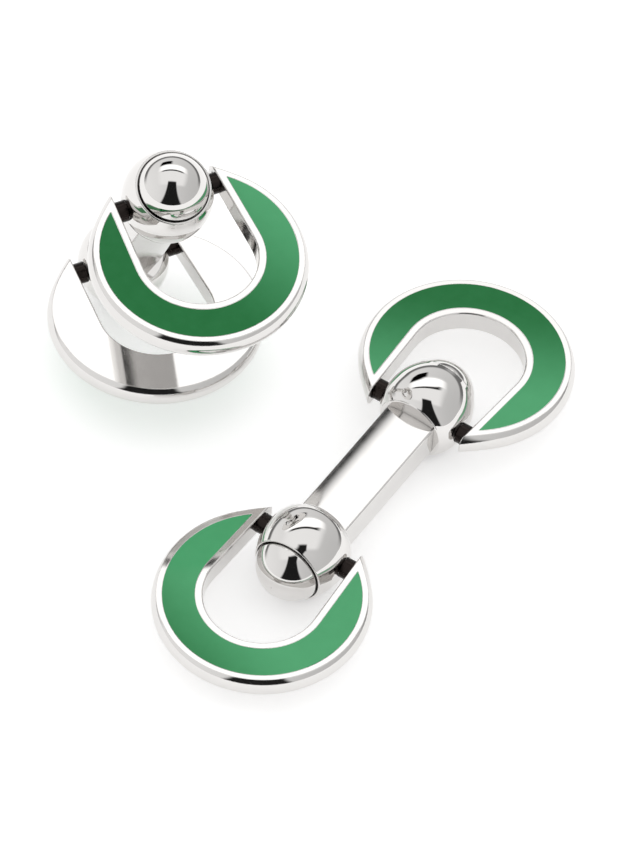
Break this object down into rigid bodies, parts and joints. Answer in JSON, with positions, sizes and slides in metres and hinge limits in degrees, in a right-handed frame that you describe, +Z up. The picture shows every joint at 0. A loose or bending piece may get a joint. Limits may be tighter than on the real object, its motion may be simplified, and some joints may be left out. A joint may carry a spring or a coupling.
{
  "type": "cufflinks",
  "caption": "Pair of cufflinks, each a straight post with a ball at both ends and hinged horseshoe rings inlaid with green enamel; one opened flat, one closed.",
  "frame": {"origin": "centre of the pair's footprint, on the surface that both cufflinks rest on", "axes": "+X along the opened cufflink's post, +Y toward the closed cufflink, +Z up"},
  "size_m": [0.0458, 0.0394, 0.0243],
  "materials": {
    "post": "polished silver",
    "ball": "polished silver",
    "dome": "mirror-polished silver",
    "ring": "polished silver",
    "enamel": "glossy green vitreous enamel",
    "pin": "hard-drawn silver wire",
    "spacers": "polished silver",
    "bush": "plain split spring bronze"
  },
  "bodies": {
    "open_post_body": {"open_post": "post", "open_left_ball": "ball", "open_left_dome": "dome", "open_left_bush": "bush", "open_right_ball": "ball", "open_right_dome": "dome", "open_right_bush": "bush"},
    "open_left_ring": {"open_left_frame": "ring", "open_left_enamel": "enamel", "open_left_pin": "pin", "open_left_spacers": "spacers"},
    "open_right_ring": {"open_right_frame": "ring", "open_right_enamel": "enamel", "open_right_pin": "pin", "open_right_spacers": "spacers"},
    "closed_post_body": {"closed_post": "post", "closed_lower_ball": "ball", "closed_lower_dome": "dome", "closed_lower_bush": "bush", "closed_upper_ball": "ball", "closed_upper_dome": "dome", "closed_upper_bush": "bush"},
    "closed_lower_ring": {"closed_lower_frame": "ring", "closed_lower_enamel": "enamel", "closed_lower_pin": "pin", "closed_lower_spacers": "spacers"},
    "closed_upper_ring": {"closed_upper_frame": "ring", "closed_upper_enamel": "enamel", "closed_upper_pin": "pin", "closed_upper_spacers": "spacers"}
  },
  "joints": [
    {"name": "open_left_hinge", "type": "hinge", "parent": "open_post_body", "child": "open_left_ring", "pos_m": [-0.0082, -0.01117, 0.00363], "axis": [0, -1, 0], "range_deg": [-2.6, 115.4]},
    {"name": "open_right_hinge", "type": "hinge", "parent": "open_post_body", "child": "open_right_ring", "pos_m": [0.0082, -0.01117, 0.00363], "axis": [0, 1, 0], "range_deg": [-2.6, 115.4]},
    {"name": "closed_lift", "type": "slide", "parent": "open_post_body", "child": "closed_post_body", "axis": [0, 0, 1], "range_m": [0, 0.03]},
    {"name": "closed_lower_hinge", "type": "hinge", "parent": "closed_post_body", "child": "closed_lower_ring", "pos_m": [0.00685, 0.01588, 0.00474], "axis": [-0.8415, 0.5402, 0], "range_deg": [-115, 3]},
    {"name": "closed_upper_hinge", "type": "hinge", "parent": "closed_post_body", "child": "closed_upper_ring", "pos_m": [0.00311, 0.01005, 0.01961], "axis": [0.8415, -0.5402, 0], "range_deg": [-71, 47]}
  ]
}
